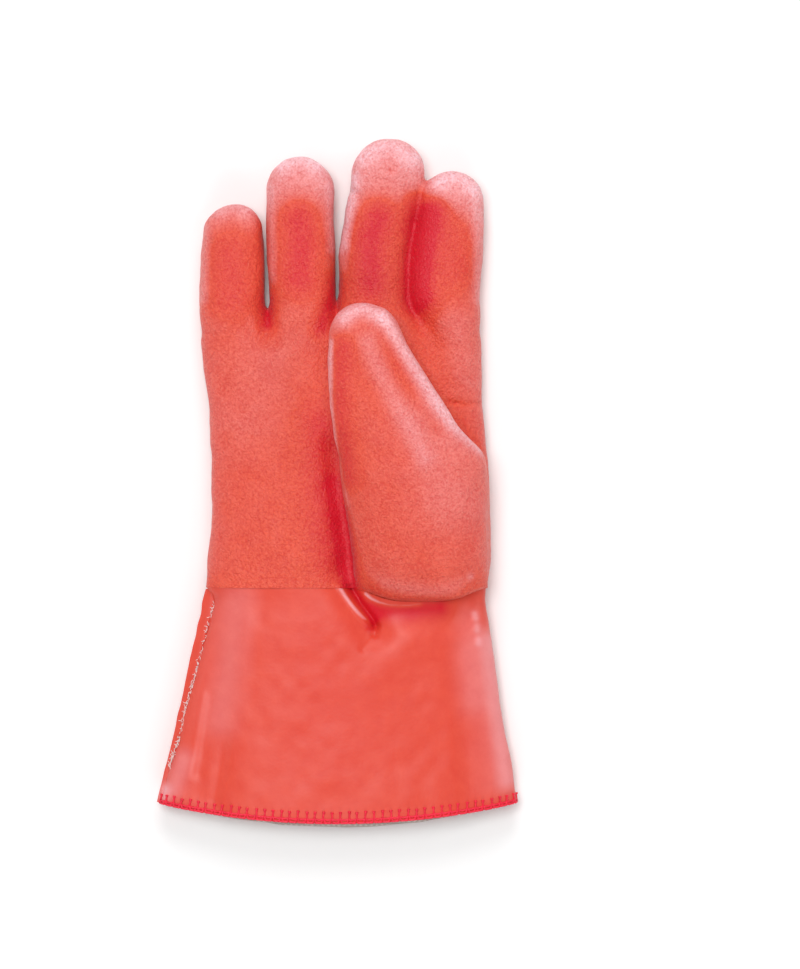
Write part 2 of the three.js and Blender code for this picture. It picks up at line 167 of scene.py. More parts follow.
# Each finger: its rows, length beyond the crotches, width, depth, its round end as a share of its width, and
# the fillet where it touches its neighbour
FINGERS = (
    (LITTLE_ROWS, 47.0, 30.8, 22.0, 0.39, 1.0),
    (RING_ROWS, 68.0, 31.6, 24.0, 0.48, 1.0),
    (MIDDLE_ROWS, MIDDLE_LENGTH, 33.2, 25.5, 0.47, 0.7),
    (INDEX_ROWS, 61.8, 32.0, 25.0, 0.43, 3.2),
)

# Sections of the thumb: how far its side stands in, its width, how deep it sinks into the palm, how high its
# back is
THUMB_SIDE = 1.02
THUMB_CAP = 0.245
THUMB_ROWS = (
    ("at", "edge", "wide", "sink", "rise"),
    (0.0, 0.008, 0.885, 0.75, 0.1),
    (0.03, 0.0, 0.905, 0.78, 0.28),
    (0.07, 0.0, 0.915, 0.8, 0.44),
    (0.127, 0.0, 0.925, 0.8, 0.62),
    (0.24, 0.0, 0.952, 0.76, 0.83),
    (0.389, 0.0, 1.0, 0.62, 0.98),
    (0.475, 0.035, 0.985, 0.42, 1.0),
    (0.551, 0.184, 0.863, 0.16, 1.0),
    (0.615, 0.273, 0.794, 0.02, 1.0),
    (0.696, 0.37, 0.712, 0.0, 1.0),
    (0.777, 0.465, 0.624, 0.0, 1.0),
    (0.876, 0.575, 0.506, 0.0, 0.97),
    (1.0, 0.6, 0.5, -0.03, 0.92),
)
UNDER_THUMB = PALM_DEPTH + THUMB_GAP
THUMB_START = 1.7  # where the thumb's tube begins, above the coating line
ROOT_CAP = 2.0  # length of the round end at a tube's root

# Sections of the cuff: shares of its length, of the way from the palm's size to the mouth's, and of the
# seam's width
CUFF_ROWS = (
    ("at", "left", "right", "deep", "seam"),
    (0.0, 0.0, 0.0, 0.0, 0.0),
    (0.06, 0.09, -0.03, 0.1, 1.0),
    (0.15, 0.165, 0.045, 0.3, 0.98),
    (0.26, 0.28, 0.165, 0.5, 0.93),
    (0.4, 0.41, 0.33, 0.7, 0.83),
    (0.54, 0.54, 0.47, 0.9, 0.62),
    (0.68, 0.675, 0.63, 1.0, 0.58),
    (0.82, 0.815, 0.83, 1.0, 0.38),
    (1.0, 1.0, 1.0, 1.0, 0.3),
)

# Broad folds, which the CAD part has too: two ends, half width and depth, as shares of the palm's half width,
# length, half width and depth
BROAD_FOLDS = (
    ((-0.07, 0.5), (0.01, 0.1), 0.12, 0.155),
    ((0.0, 0.03), (0.2, -0.13), 0.13, 0.13),
    ((0.25, -0.05), (0.8, -0.03), 0.13, 0.08),
    ((-0.57, 1.0), (-0.56, 0.9), 0.1, 0.1),
    ((0.58, 0.96), (0.62, 0.88), 0.1, 0.05),
    ((-0.92, -0.3), (-1.02, -0.72), 0.16, 0.06),
)

# Fine folds and ridges of the upper side, in millimetres on the glove's own axes: a line, half width, depth.
# A ridge has a negative depth.
FINE_FOLDS = (
    (((-5.4, 46), (-4, 39), (-1.6, 30), (0.4, 17), (1.6, 6), (2.4, 0)), 3.4, 0.7),
    (((-1.6, 30), (0.4, 17), (1.6, 6), (2.4, 0)), 3, 1.2),
    (((2.4, 0), (6.5, -6.3), (11.5, -11.5), (12.6, -14)), 2, 3),
    (((-3, 0), (4.2, -10), (9, -15.4)), 1.3, -1),
    (((13, -13.6), (12, -18.6)), 1.7, 1.4),
    (((10.2, -21.6), (7.2, -26)), 1.6, 0.5),
    (((-60.5, -47), (-66, -80)), 2.6, 0.45),
    (((-64.5, -47), (-70.5, -82)), 2.4, -0.35),
    (((-53.5, -64), (-58.7, -90)), 2.6, 0.45),
    (((-46, -6), (-52, -62)), 6, -0.5),
    (((58, -16), (62, -50), (66, -90)), 4, -0.6),
    (((49, -26), (52, -60), (54, -86)), 4, 0.5),
    (((57, -12.1), (57.1, -12.4)), 1.3, -0.5),
    (((57, -17), (57.1, -17.4)), 1.2, -0.45),
    (((58.2, -22.6), (58.5, -23.4)), 1.2, -0.4),
    (((-65, 125), (-56, 125.2)), 1.2, 0.3),
    (((31.5, 163), (28.6, 151), (27.2, 138), (27.8, 130)), 4.2, 1.2),
    (((-5, 152), (-4.8, 138), (-6, 126)), 3.4, 1.6),
    (((-35.6, 135), (-35.4, 124), (-34.5, 117)), 2.6, 1.6),
)

# The ragged line of loose fibres beside the side seam, from the coat's edge towards the hem
FUZZ_LINE = (
    *((-59.2, -7.1), (-62.7, -18.8), (-64.5, -27.7), (-67.2, -36.6), (-69, -42.9)),
    *((-70.8, -48.2), (-72.6, -54.9), (-74.8, -66.5), (-77.5, -72.8), (-79.3, -79)),
)

# Marks on the hand's upper side alone: a line, half width, depth
HAND_MARKS = (
    (((45.8, 82.6), (53, 81.6), (60.5, 82.2)), 1, 1.2),
    (((49.3, 94.7), (58.3, 88)), 1.8, -0.6),
    (((-38.6, 100.9), (-38.4, 101.2)), 1, -0.55),
    (((-40.4, 69.2), (-40.2, 69.6)), 1.1, -0.6),
    (((-34.2, 108), (-34, 110.5)), 2.2, -0.5),
    (((19.2, 185.2), (20.8, 186.4)), 1.5, 1.1),
    (((16.6, 184.4), (18.2, 182.6), (20.6, 182.2), (23, 183.6), (23.8, 186),
        (22.6, 188.6)), 0.9, -0.4),
    (((1.6, 176.8), (5.8, 174.6)), 1.5, 1.3),
)

# Marks on the thumb: a line, half width, depth
THUMB_MARKS = (
    (((9.2, 108.5), (14.8, 97), (20.3, 84.4), (27.5, 71.5), (34, 59)), 5, -1.1),
    (((17.5, 107), (24.8, 93), (33, 80), (42, 68)), 3.6, 0.4),
    (((16.3, 122), (23.4, 110), (31.5, 97.5), (39.1, 86.2), (46.7, 77), (54.3, 66.5),
        (59.6, 62.5)), 1.6, -0.8),
    (((-5.6, 85.3), (-5.2, 86)), 2, 0.6),
    (((12, 2.4), (24, -2), (34, -3.4), (50, -1)), 1.1, -0.7),
    (((36, -3.9), (52.9, -2.3), (61.4, 1.2)), 0.9, 0.8),
    (((56, 3.5), (56.2, 3.7)), 2, -0.5),
)

# Painted light on the hand: above 0 a painted highlight on tips and rims, below 0 painted shade in creases,
# grooves and on sides turned from the lamps: a line, half width, amount
HAND_PAINTED_LIGHT = (
    (((-56.7, 168.7), (-50, 171.5), (-44.8, 168.7)), 5, 0.36),
    (((-63.2, 159.9), (-64.1, 128.6)), 2.5, 0.2),
    (((-51.6, 148.4), (-51.6, 128.6)), 8, -0.35),
    (((-28.5, 189), (-21, 192.5), (-13.4, 188.4)), 4.5, 0.6),
    (((-27.5, 184), (-14.4, 183.4)), 14, 0.33),
    (((-34.2, 177.7), (-33.7, 137.6)), 2.5, 0.25),
    (((-7.4, 177.7), (-6.5, 151)), 2.5, 0.25),
    (((-21.2, 164.5), (-19.9, 151), (-21.2, 137.8)), 7, -0.7),
    (((7.3, 192.7), (19, 198.3), (29.4, 191.4)), 5, 0.55),
    (((9.3, 185.7), (27.4, 185.4)), 15, 0.32),
    (((2.6, 182.2), (-0.3, 166.6), (-2.1, 152.3)), 3.2, 0.55),
    (((2, 178), (-1.3, 162), (-3.6, 140.3)), 4.2, 0.35),
    (((13.8, 164.3), (10.7, 155.4), (10.6, 135.3)), 7.5, -0.85),
    (((29.1, 172.7), (27, 159.9)), 4, -0.4),
    (((41.8, 181), (49.3, 184.3), (57.5, 177.2)), 4.5, 0.6),
    (((43.8, 174), (55.5, 171.2)), 12, 0.34),
    (((30, 128), (31.5, 121.5)), 3.4, -0.15),
    (((37.4, 167), (33.8, 153.2), (31.6, 137.3), (32.2, 129.5)), 6.5, -1.45),
    (((48, 160.3), (48, 142)), 9, -0.25),
    (((58.3, 168.8), (59.2, 128.6)), 3, 0.25),
    (((48, 115.2), (54.7, 92.9)), 8, 0.1),
    (((-35.5, 128.6), (-35.5, 117.5)), 3, -0.7),
    (((-4.7, 137.6), (-6.5, 128.6), (-11.4, 115.2)), 3.5, -0.7),
    (((-34.6, 106.3), (-43.5, 75)), 16, 0.08),
    (((-11.4, 72.6), (-10.4, 39.3), (-6.5, 12.5)), 8, -0.55),
    (((-6.5, 46.5), (-4.5, 38.4), (-0.7, 17), (1.5, 0)), 4.2, -0.55),
    (((-3, 32), (-0.4, 17), (1.6, 0)), 3.2, -0.85),
)

# The same painted highlight and painted shade on the thumb
THUMB_PAINTED_LIGHT = (
    (((-1.1, 119.6), (6.5, 124), (14.5, 120.5)), 4, 0.6),
    (((17.2, 118.2), (25.2, 105.7), (35.1, 89.8), (46.2, 73.2), (60.2, 62.4)), 3.2, 0.6),
    (((-6.9, 108.5), (-7.3, 84), (-4.2, 57.2), (1.6, 21.4)), 1.6, 0.6),
    (((-2, 106.3), (-2.9, 75), (1.1, 48.2)), 4.5, -0.45),
    (((9.2, 108.5), (16.7, 90.7), (27.9, 70.6), (34.6, 57.2)), 4.5, 0.16),
    (((36.8, 75), (45.8, 39.3)), 16, 0.16),
    (((22, 98), (31, 83), (40, 70)), 3, -0.05),
    (((6, 4), (23.4, -0.5), (38, -2.5), (57, 2)), 5, 0.14),
    (((56, 4.5), (56.5, 2.2)), 1.8, 0.8),
)

# The same painted highlight and painted shade on the cuff, with thin painted highlight lines by the thumb's
# base
CUFF_PAINTED_LIGHT = (
    (((-48, -5.4), (-51.6, -32.2), (-56, -59)), 9, 0.14),
    (((-72.6, -76.8), (-77, -90.2)), 5, 0.2),
    (((-81.5, -90.2), (-82, -92.9)), 3, 0.4),
    (((-12.3, -23.2), (-7.8, -67.9)), 22, -0.1),
    (((63.6, -23.2), (68.1, -59), (71.7, -85.7)), 5, 0.3),
    (((53.8, -14.3), (56.5, -50)), 7, 0.1),
    (((56, -30), (60, -60), (63, -88)), 8, 0.07),
    (((12.3, -10.7), (27.9, -11.2), (41.3, -8.9)), 4, -0.95),
    (((2, 0), (6.5, -6.3), (12.3, -12.5), (10.9, -17)), 2.4, -1),
    (((-2.5, -0.4), (-0.2, -4), (2, -7.1), (4.7, -10.3), (7.4, -13), (9.2, -14.3),
        (10.5, -17)), 0.9, 0.6),
    (((8.3, -2.7), (11, -4.9), (14.5, -6.5), (18.5, -7.5), (23.4, -7.9), (28, -7.8),
        (32.8, -7.2)), 0.8, 0.6),
    (((56.9, -11.6), (57.4, -13.4)), 1.4, 0.28),
    (((57.9, -17.3), (58, -18.6)), 1.6, 0.22),
    (((58.5, -23.3), (58.6, -24.6)), 1.5, 0.2),
)

# Sizes of the finishes' textures in millimetres
CRUMPLE_SIZE = 1.5
GRIT_SIZE = 1.0
PATCH_SIZE = 14.0
FLOW_SIZE = 6.0
PINHOLE_SIZE = 1.1
WALE_SIZE = 1.2
COURSE_SIZE = 0.9
PLY_SIZE = 0.5
SLUB_SIZE = 2.5
CLOUD_SIZE = 1000 / 3

# What both coats share as plasticised PVC, which lets a little light in
PVC_BODY = {
    "IOR": 1.52,
    "Subsurface Weight": 0.08,
    "Subsurface Radius": (1.0, 0.25, 0.15),
    "Subsurface Scale": 0.0015,
}

# Soft dents of the hand: each layer's share, size and seed
HAND_DENTS = ((0.8, 19, 1), (0.6, 7.5, 2), (0.3, 3.4, 5))

# The corner between two faces that stays sharp when the rest is shaded smooth
SHARP_EDGE = np.radians(50)

# Points round the cuff, its lining and the grid that carries the hem's threads
CUFF_AROUND = 440
LINING_AROUND = 360
HEM_AROUND = 1440
HEM_REACH = 8.0  # how far that grid runs up the cuff
HEM_ROWS = 17

# Thickness of the hem's threads as shares of one thread, since plies lie side by side in the knots
HEM_THREADS = {"needle": 1.5, "knot": 2.4, "leg": 1.6, "looper": 1.5, "lower": 1.7}

# Area lamps: name, place, size in metres and power in watts. All are aimed at the glove.
LAMPS = (
    ("overhead", (-0.3, 0.4, 2.7), 1.0, 36.5),
    ("top", (0.0, 1.5, 1.5), 1.1, 16.5),
    ("right", (1.7, 0.3, 0.9), 1.1, 8.0),
    ("left", (-1.7, 0.2, 0.8), 1.1, 6.0),
    ("foot", (0.1, -1.6, 1.0), 1.2, 11.0),
)
WORLD_LIGHT = 0.19
FLOOR_REACH = 3.0
FLOOR_DROP = 0.0002  # keeps the floor clear of the glove's underside

# The photograph is 800 by 969 and shows 357 by 433 mm at the glove's mid height
CAMERA_PLACE = (0.0284, -0.0013, 2.212)
VIEW_DISTANCE = 2.2
VIEW_HEIGHT = 0.43276


def read(rows, column, at):
    """A table's column at each station: a cubic through the rows, sloped by each row's two neighbours."""
    names, *values = rows
    values = np.array(values, dtype=float)
    knots = values[:, 0]
    heights = values[:, names.index(column)]
    last = len(knots) - 1
    before = np.maximum(np.arange(last + 1) - 1, 0)
    after = np.minimum(np.arange(last + 1) + 1, last)
    slopes = (heights[after] - heights[before]) / (knots[after] - knots[before])
    at = np.asarray(at, dtype=float)
    i = np.clip(np.searchsorted(knots, at), 1, last)
    span = knots[i] - knots[i - 1]
    t = np.clip((at - knots[i - 1]) / span, 0, 1)
    straight = heights[i - 1] + (heights[i] - heights[i - 1]) * t * t * (3 - 2 * t)
    return straight + t * (1 - t) * span * (slopes[i - 1] * (1 - t) - slopes[i] * t)


def smoothstep(value, low, high):
    """0 below low, 1 above high, and an even S between them."""
    t = np.clip((value - low) / (high - low), 0, 1)
    return t * t * (3 - 2 * t)


def upper_share(z):
    """How much a height belongs to the upper side of the lying glove."""
    return smoothstep(z, 0.25 * PALM_DEPTH, 0.85 * PALM_DEPTH)


def along_line(x, y, line, width):
    """A soft stroke along a line of points: the bell curve of the distance to it."""
    nearest = np.full(np.broadcast(x, y).shape, np.inf)
    for (ax, ay), (bx, by) in zip(line[:-1], line[1:]):
        run = (bx - ax) ** 2 + (by - ay) ** 2
        t = np.clip(((x - ax) * (bx - ax) + (y - ay) * (by - ay)) / run, 0, 1)
        nearest = np.minimum(nearest, (x - ax - t * (bx - ax)) ** 2 + (y - ay - t * (by - ay)) ** 2)
    return np.exp(-nearest / width**2)


def marks_depth(x, y, marks):
    """The sum of a table's strokes at each place, each as deep as its row says."""
    return sum(depth * along_line(x, y, line, width) for line, width, depth in marks)


def press_depth(x, y):
    """How far the upper side is pressed down at a place: the broad folds and the fine ones."""
    total = marks_depth(x, y, FINE_FOLDS)
    for (from_x, from_y), (to_x, to_y), wide, deep in BROAD_FOLDS:
        line = ((from_x * HALF_PALM, from_y * PALM_LENGTH), (to_x * HALF_PALM, to_y * PALM_LENGTH))
        total = total + deep * PALM_DEPTH * along_line(x, y, line, wide * HALF_PALM)
    return total


def line_dip(x, y, z):
    """How far the coat's edge sinks towards the cuff below the thumb's root."""
    aside, off = (x / HALF_PALM - 0.54) / 0.38, y / PALM_LENGTH / 0.2
    return LINE_DIP * upper_share(z) * np.exp(-(aside**4) - off**2)


def drape(points):
    """The lying glove's warp: folds press the upper side down, the hem bows out, the coat's edge dips."""
    x, y, z = points[..., 0], points[..., 1], points[..., 2]
    upper = upper_share(z)
    across = np.clip((x - MOUTH_SHIFT) / HALF_MOUTH, -1, 1)
    down = np.clip(-y / CUFF_LENGTH, 0, 1)
    drop = HEM_DROP * (1 - upper) * smoothstep(1 - np.abs(across), 0.12, 0.4)
    bow = (HEM_BOW * (1 - across**2) + drop) * down**2
    pressed = press_depth(x, y) * upper
    return np.stack([x, y - bow - line_dip(x, y, z), z - pressed], axis=-1)


def sampled(grid, whole, part):
    """A grid's value between its points: whole is the point below on each axis, part the share of the way to
    the next. Each corner of the cell counts by its nearness, and the grid repeats past its end."""
    total = 0.0
    for corner in np.ndindex(*[2] * len(part)):
        weight = 1.0
        for c, p in zip(corner, part):
            weight = weight * (p if c else 1 - p)
        place = tuple((w + c) % n for w, c, n in zip(whole, corner, grid.shape))
        total = total + weight * grid[place]
    return total


def rumple(x, y, z, size, seed):
    """Soft unevenness from -1 to 1: random heights on a lattice of that size, blended smoothly between."""
    lattice = np.random.default_rng(seed).uniform(-1, 1, (24, 24, 24))
    cells = [np.asarray(v, dtype=float) / size + 7.3 for v in np.broadcast_arrays(x, y, z)]
    whole = [np.floor(v).astype(int) for v in cells]
    return sampled(lattice, whole, [smoothstep(v - w, 0, 1) for v, w in zip(cells, whole)])


def placed(name, data):
    """An object with that data, linked into the scene."""
    made = bpy.data.objects.new(name, data)
    bpy.context.scene.collection.objects.link(made)
    return made


def build_mesh(name, points, faces, materials, slot=0):
    """A mesh object from points in the glove's own millimetres and its faces, all in one material slot."""
    mesh = bpy.data.meshes.new(name)
    faces = faces if isinstance(faces, list) else faces.tolist()
    mesh.from_pydata((points + GLOVE_ORIGIN) * MM, [], faces)
    for material in materials:
        mesh.materials.append(material)
    slots = np.full(len(mesh.polygons), slot, dtype=np.int32)
    mesh.polygons.foreach_set("material_index", slots)
    mesh.shade_smooth()
    return placed(name, mesh)


def paint_light_and_shade(piece, tone):
    """Stores painted light at each point of a piece, from -1 to 1, for its material: a painted highlight above
    0 and painted shade below 0.
    """
    values = piece.data.attributes.new("tone", "FLOAT", "POINT").data
    values.foreach_set("value", tone.astype(np.float32))


def points_of(piece):
    """A piece's points in the glove's own millimetres."""
    points = np.empty(len(piece.data.vertices) * 3, dtype=np.float32)
    piece.data.vertices.foreach_get("co", points)
    return points.reshape(-1, 3).astype(float) / MM - GLOVE_ORIGIN


def grid_faces(rows, columns, close_rows, close_columns):
    """Quads over a grid of points that is numbered row by row, joined at its ends where it is closed."""
    i = np.arange(rows if close_rows else rows - 1)[:, None]
    j = np.arange(columns if close_columns else columns - 1)[None, :]
    ahead, beside = (i + 1) % rows, (j + 1) % columns
    quads = [i * columns + j, ahead * columns + j, ahead * columns + beside, i * columns + beside]
    return np.stack(np.broadcast_arrays(*quads), axis=-1).reshape(-1, 4)


def thread_tubes(centres, radius, sides=6):
    """Round tubes along many lines at once. centres is lines by points by 3. Each ring stands square to its
    line, the end rings are smaller, and a flat cap closes each end."""
    along = np.gradient(centres, axis=1)
    along /= np.linalg.norm(along, axis=-1, keepdims=True) + 1e-9
    helper = np.where(np.abs(along[..., 2:]) > 0.9, [1.0, 0.0, 0.0], [0.0, 0.0, 1.0])
    side = np.cross(along, helper)
    side /= np.linalg.norm(side, axis=-1, keepdims=True)
    top = np.cross(side, along)
    turn = np.linspace(0, 2 * np.pi, sides, endpoint=False)
    ring = np.cos(turn)[:, None] * side[..., None, :]
    ring = ring + np.sin(turn)[:, None] * top[..., None, :]
    lines, count = centres.shape[:2]
    size = np.full((lines, count), float(radius))
    size[:, [0, -1]] *= 0.5
    points = centres[:, :, None, :] + ring * size[..., None, None]
    first = np.arange(lines)[:, None, None] * count * sides
    walls = (first + grid_faces(count, sides, False, True)[None]).reshape(-1, 4).tolist()
    ends = np.stack([np.arange(sides), (count - 1) * sides + np.arange(sides)[::-1]])
    return points.reshape(-1, 3), walls + (first + ends[None]).reshape(-1, sides).tolist()


def joined(parts):
    """Several sets of points and faces as one."""
    starts = np.cumsum([0] + [len(points) for points, faces in parts])
    faces = [[i + start for i in face] for (points, part), start in zip(parts, starts) for face in part]
    return np.concatenate([points for points, faces in parts]), faces


def bulge(field, points, corner, step, reach):
    """How much a surface bulges out at its points, from -1 in a narrow crease to 1 at a tip: the share of a
    soft ball round the point that is outside the form, against the half that a flat place has. The ball is a
    bell curve, put on by a Fourier transform."""
    share = smoothstep(field, -0.5 * step, 0.5 * step)
    pad = [(0, int(3 * reach / step))] * 3
    share = np.pad(share, pad, constant_values=1.0)
    spectrum = np.fft.rfftn(share)
    for axis, count in enumerate(share.shape):
        turns = np.fft.rfftfreq(count, step) if axis == 2 else np.fft.fftfreq(count, step)
        bell = np.exp(-2 * (np.pi * reach * turns) ** 2)
        spectrum *= bell.reshape([-1 if i == axis else 1 for i in range(3)])
    soft = np.fft.irfftn(spectrum, share.shape)
    cells = np.clip((points - corner) / step, 0, np.array(field.shape) - 1.001)
    whole = cells.astype(int)
    total = sampled(soft, whole.T, (cells - whole).T)
    return np.clip((total - 0.5) * 4, -1, 1)


# The hand's form, as a field of distances: below zero inside, above zero outside

FAR = 60.0  # the field where no form is near


def tube_field(x, y, z, step, form, cap_from, tip, root, root_cap=ROOT_CAP):
    """A tube across a grid. r is the superellipse share of each section, joined with the share of the way into
    the round ends, and the field is (r - 1) over the steepness of r: close to millimetres near the surface."""
    left, right, low, high = form
    half = (right - left) / 2
    waist = low + (high - low) * WAIST
    aside = np.abs(x - (left + right) / 2) / half
    above = np.maximum((z - waist) / (high - waist), 0)
    below = np.maximum((waist - z) / (waist - low), 0)
    crown = (aside**CROWN + above**CROWN) ** (1 / CROWN)
    base = (aside**BASE + below**BASE) ** (1 / BASE)
    ends = np.maximum(y - cap_from, 0) / (tip - cap_from)
    ends = ends + np.maximum(root - y, 0) / root_cap
    r = np.sqrt(np.where(z > waist, crown, base) ** 2 + ends**2)
    steep = np.sqrt(sum(part**2 for part in np.gradient(r, step)))
    return (r - 1) / np.maximum(steep, 0.02)


def fused(a, b, fillet):
    """The nearer of two fields, with a fillet of that size in the corner between them."""
    share = np.clip(0.5 + 0.5 * (b - a) / fillet, 0, 1)
    return b + (a - b) * share - fillet * share * (1 - share)


def hand_field(x, y, z, step):
    """The whole hand's field: four fingers fused with tight crotches, then the palm with wide fillets, then
    the thumb, tight where it lies loose and wide at its root. The floor flattens its underside."""
    rise = upper_share(z) * press_depth(x, y)
    back = y + line_dip(x, y, z)
    lifted = z + rise
    fingers = np.full(np.broadcast(x, y, z).shape, FAR)
    for rows, length, width, depth, cap, fillet in FINGERS:
        root, tip = PALM_LENGTH - FINGER_ROOT, PALM_LENGTH + length
        at = (y - root) / (tip - root)
        middle = read(rows, "middle", at) * HALF_PALM
        half = read(rows, "wide", at) * width / 2
        low, high = read(rows, "lift", at) * TIP_LIFT, read(rows, "high", at) * depth
        form = (middle - half, middle + half, low, high)
        finger = tube_field(x, y, lifted, step, form, tip - cap * width, tip, root, FINGER_ROOT)
        fingers = fused(fingers, finger, fillet)
    end = PALM_ROWS[-1][0] * PALM_LENGTH
    palm = tube_field(x, y, lifted, step, palm_section(y), end - 12, end + 4, -40.0)
    body = fused(fingers, palm, 4.0)
    at = back / THUMB_LENGTH
    outer = THUMB_SIDE * HALF_PALM - read(THUMB_ROWS, "edge", at) * THUMB_WIDTH
    inner = outer - read(THUMB_ROWS, "wide", at) * THUMB_WIDTH
    low = UNDER_THUMB - read(THUMB_ROWS, "sink", at) * PALM_DEPTH
    high = UNDER_THUMB + read(THUMB_ROWS, "rise", at) * THUMB_DEPTH
    form, cap_from = (inner, outer, low, high), THUMB_LENGTH - THUMB_CAP * THUMB_WIDTH
    thumb = tube_field(x, back, z, step, form, cap_from, THUMB_LENGTH, THUMB_START)
    thumb = thumb + marks_depth(x, y, THUMB_MARKS) * smoothstep(z, 34, 40)
    # The thumb grows out of the palm on its own side, and lies loose on the other and beyond its root
    snug = smoothstep(x, 8, 40) * (1 - smoothstep(y, 52, 70)) * smoothstep(y, -4, 14)
    body = body + marks_depth(x, y, HAND_MARKS) * upper_share(z)
    whole = fused(body, thumb, 0.9 + 8 * snug)
    return -fused(-whole, z, 1.2)


def volume_mesh(field, corner, step):
    """Points and quads of the surface where a field on a grid passes zero, facing outwards."""
    grid = openvdb.FloatGrid(FAR)
    grid.copyFromArray(field.astype(np.float32))
    points, quads = grid.convertToQuads(0.0)
    return points * step + corner, quads


def cut_with(piece, tool, operation="DIFFERENCE"):
    """Applies a boolean with another object and removes that object."""
    change = piece.modifiers.new("cut", "BOOLEAN")
    change.object = tool
    change.operation = operation
    change.solver = "MANIFOLD"
    bpy.context.view_layer.update()
    worked = piece.evaluated_get(bpy.context.evaluated_depsgraph_get())
    result = bpy.data.meshes.new_from_object(worked)
    old = piece.data
    piece.modifiers.clear()
    piece.data = result
    piece.data.name = piece.name
    bpy.data.meshes.remove(old)
    bpy.data.objects.remove(tool)


def edge_cutter(reach):
    """A block below the coat's edge: its front is the surface y = -dip(x, z), its back a plane."""
    x = np.linspace(-HALF_PALM - 12, HALF_PALM + 12, 160)[:, None]
    z = np.linspace(-6, 60, 90)[None, :]
    front = np.stack(np.broadcast_arrays(x, -line_dip(x, 0 * x, z), z), axis=-1)
    back = front.copy()
    back[..., 1] = -reach
    rows, columns = front.shape[:2]
    face = grid_faces(rows, columns, False, False)
    count = rows * columns
    number = np.arange(count).reshape(rows, columns)
    border = [number[0], number[1:, -1], number[-1, -2::-1], number[-2:0:-1, 0]]
    border = np.concatenate(border)
    ahead = np.roll(border, -1)
    rim = np.stack([border, border + count, ahead + count, ahead], axis=-1)
    faces = np.concatenate([face[:, ::-1], face + count, rim])
    return np.concatenate([front, back]).reshape(-1, 3), faces


# The cuff's form, as rings of points


def cuff_section(y):
    """left, right, low, high and the seam's width at each station of the cuff."""
    at = -y / CUFF_LENGTH
    seam = read(CUFF_ROWS, "seam", at) * SEAM_WIDTH
    depth = PALM_DEPTH + (CUFF_MOUTH_DEPTH - PALM_DEPTH) * read(CUFF_ROWS, "deep", at)
    wrist_left, wrist_right, wrist_low, wrist_high = PALM_ROWS[1][1:]
    left, right = wrist_left * HALF_PALM, wrist_right * HALF_PALM
    left = left + (MOUTH_SHIFT - HALF_MOUTH - left) * read(CUFF_ROWS, "left", at) + seam
    right = right + (MOUTH_SHIFT + HALF_MOUTH - right) * read(CUFF_ROWS, "right", at)
    return left, right, wrist_low * depth, wrist_high * depth, seam


def palm_section(y):
    """left, right, low and high at each station of the palm."""
    at = y / PALM_LENGTH
    sizes = {"left": HALF_PALM, "right": HALF_PALM, "low": PALM_DEPTH, "high": PALM_DEPTH}
    return tuple(read(PALM_ROWS, name, at) * size for name, size in sizes.items())


def bent(value, power):
    """A value to a power, with its sign kept: a superellipse's share from a circle's."""
    return np.sign(value) * np.abs(value) ** power


def ring(y, form, inset, count, relief=None):
    """One section as points evenly spaced over each half of a superellipse, moved in square to its outline.
    relief adds millimetres outwards at each point."""
    left, right, low, high = form[:4]
    waist = low + (high - low) * WAIST
    halves = []
    for power, reach, start in ((CROWN, high - waist, 0.0), (BASE, waist - low, np.pi)):
        angle = start + np.linspace(0, np.pi, 400)
        c, s = np.cos(angle), np.sin(angle)
        x = (left + right) / 2 + (right - left) / 2 * bent(c, 2 / power)
        z = np.maximum(waist + reach * bent(s, 2 / power), 0)
        length = np.concatenate([[0], np.cumsum(np.hypot(np.diff(x), np.diff(z)))])
        even = np.linspace(0, length[-1], count // 2, endpoint=False)
        places = [np.interp(even, length, v) for v in (x, z)]
        halves.append(np.stack(places, axis=-1))
    outline = np.concatenate(halves)
    along = np.roll(outline, -1, axis=0) - np.roll(outline, 1, axis=0)
    along /= np.linalg.norm(along, axis=-1, keepdims=True)
    inward = np.stack([-along[:, 1], along[:, 0]], axis=-1)
    place = outline + inward * inset
    place[:, 1] = np.maximum(place[:, 1], inset)
    points = np.stack([place[:, 0], np.full(count, y), place[:, 1]], axis=-1)
    if relief is not None:
        out = relief(points)
        points[:, [0, 2]] -= inward * out[:, None]
    return points


def coat_step(y):
    """How deep the cuff's skin lies under the palm's form near the coat's edge."""
    return COAT_STEP * (1 - smoothstep(-y, 0, STEP_FADE))


def cuff_relief(points):
    """The cuff skin's own unevenness: slow waves, which fade at the coat's edge and near the floor."""
    x, y, z = points.T
    waves = 0.35 * rumple(x, y, z, 17, 3) + 0.16 * rumple(x, y, z, 6, 4)
    return waves * smoothstep(-y, 4, 20) * smoothstep(z, 1, 8)


def cuff_rings(stations, inset, count, relief=None):
    """Rings of the cuff at those stations, warped as the lying glove is."""
    depths = [inset + coat_step(y) for y in stations]
    return [drape(ring(y, cuff_section(y), depth, count, relief)) for y, depth in zip(stations, depths)]


def palm_rings(stations, inset, count):
    """The same of the palm."""
    return [drape(ring(y, palm_section(y), inset, count)) for y in stations]


# Colours and finishes


def linear(hex_code):
    """An sRGB hex colour as linear light, three channels."""
    channels = [int(hex_code[i : i + 2], 16) / 255 for i in (1, 3, 5)]
    return [v / 12.92 if v <= 0.04045 else ((v + 0.055) / 1.055) ** 2.4 for v in channels]


def add(tree, kind, inputs=None, **settings):
    """Adds a node with its settings. An input is a value, or a (node, output) pair that is linked to it."""
    made = tree.nodes.new(kind)
    for name, value in settings.items():
        setattr(made, name, value)
    for name, value in (inputs or {}).items():
        if isinstance(value, tuple) and isinstance(value[0], bpy.types.Node):
            tree.links.new(value[0].outputs[value[1]], made.inputs[name])
        else:
            made.inputs[name].default_value = value
    return made


def start_material(name):
    """An empty material, its node tree and an input that places a texture by its Object coordinates."""
    material = bpy.data.materials.new(name)
    material.use_nodes = True
    tree = material.node_tree
    tree.nodes.clear()
    return material, tree, {"Vector": (add(tree, "ShaderNodeTexCoord"), "Object")}


